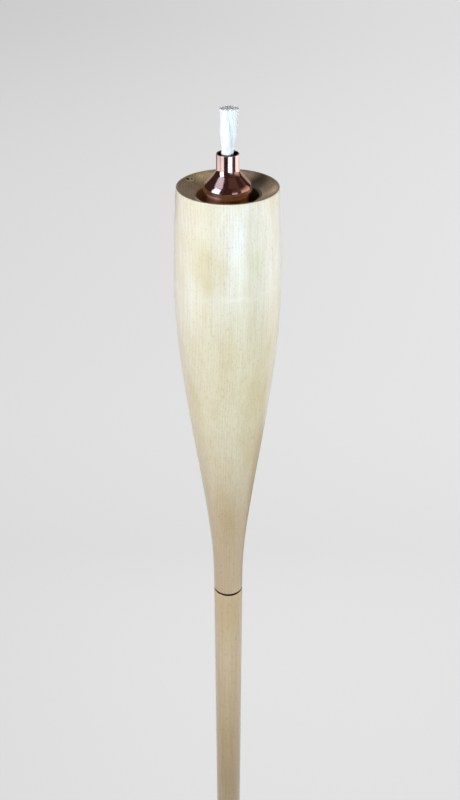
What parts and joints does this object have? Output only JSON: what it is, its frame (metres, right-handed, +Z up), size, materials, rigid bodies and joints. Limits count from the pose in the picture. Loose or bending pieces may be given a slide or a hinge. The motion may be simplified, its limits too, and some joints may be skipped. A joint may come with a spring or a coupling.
{
  "type": "tiki torch",
  "caption": "Patio oil torch: turned maple head on a tapered maple pole, with a lift-out copper fuel canister and a fibreglass wick standing in a copper neck.",
  "frame": {"origin": "on the pole's axis at the ground line, within the straight foot", "axes": "+Z up along the pole to the wick; the torch is turned, so X and Y are free, with the picture's camera on the -Y side"},
  "size_m": [0.0852, 0.0852, 1.5829],
  "materials": {
    "maple": "sanded and oiled, satin",
    "copper": "polished copper, lightly tarnished",
    "brass": "plain brass",
    "steel": "zinc plated",
    "leather": "dark waxed leather",
    "fibreglass": "white fibreglass yarn"
  },
  "bodies": {
    "pole": {"pole": "maple", "hanger_bolt": "steel"},
    "washer": {"joint_washer": "leather"},
    "head": {"torch_head": "maple", "threaded_insert": "brass"},
    "canister": {"canister_tube": "copper", "canister_cap": "copper"},
    "bell": {"wick_bell": "copper", "wick_bushing": "copper"},
    "wick": {"wick": "fibreglass"}
  },
  "joints": [
    {"name": "head_rise", "type": "slide", "parent": "pole", "child": "washer", "axis": [0, 0, 1], "range_m": [0, 0.0239]},
    {"name": "head_turn", "type": "hinge", "parent": "washer", "child": "head", "pos_m": [0, 0, 0.8664], "axis": [0, 0, 1], "range_deg": [0, 5400]},
    {"name": "canister_lift", "type": "slide", "parent": "head", "child": "canister", "axis": [0, 0, 1], "range_m": [0, 0.16]},
    {"name": "bell_lift", "type": "slide", "parent": "canister", "child": "bell", "axis": [0, 0, 1], "range_m": [0, 0.145]},
    {"name": "wick_raise", "type": "slide", "parent": "bell", "child": "wick", "axis": [0, 0, 1], "range_m": [-0.006, 0.03]}
  ],
  "couplings": [
    {"joint": "head_rise", "follows": "head_turn", "m_per_rad": 0.00025266}
  ]
}
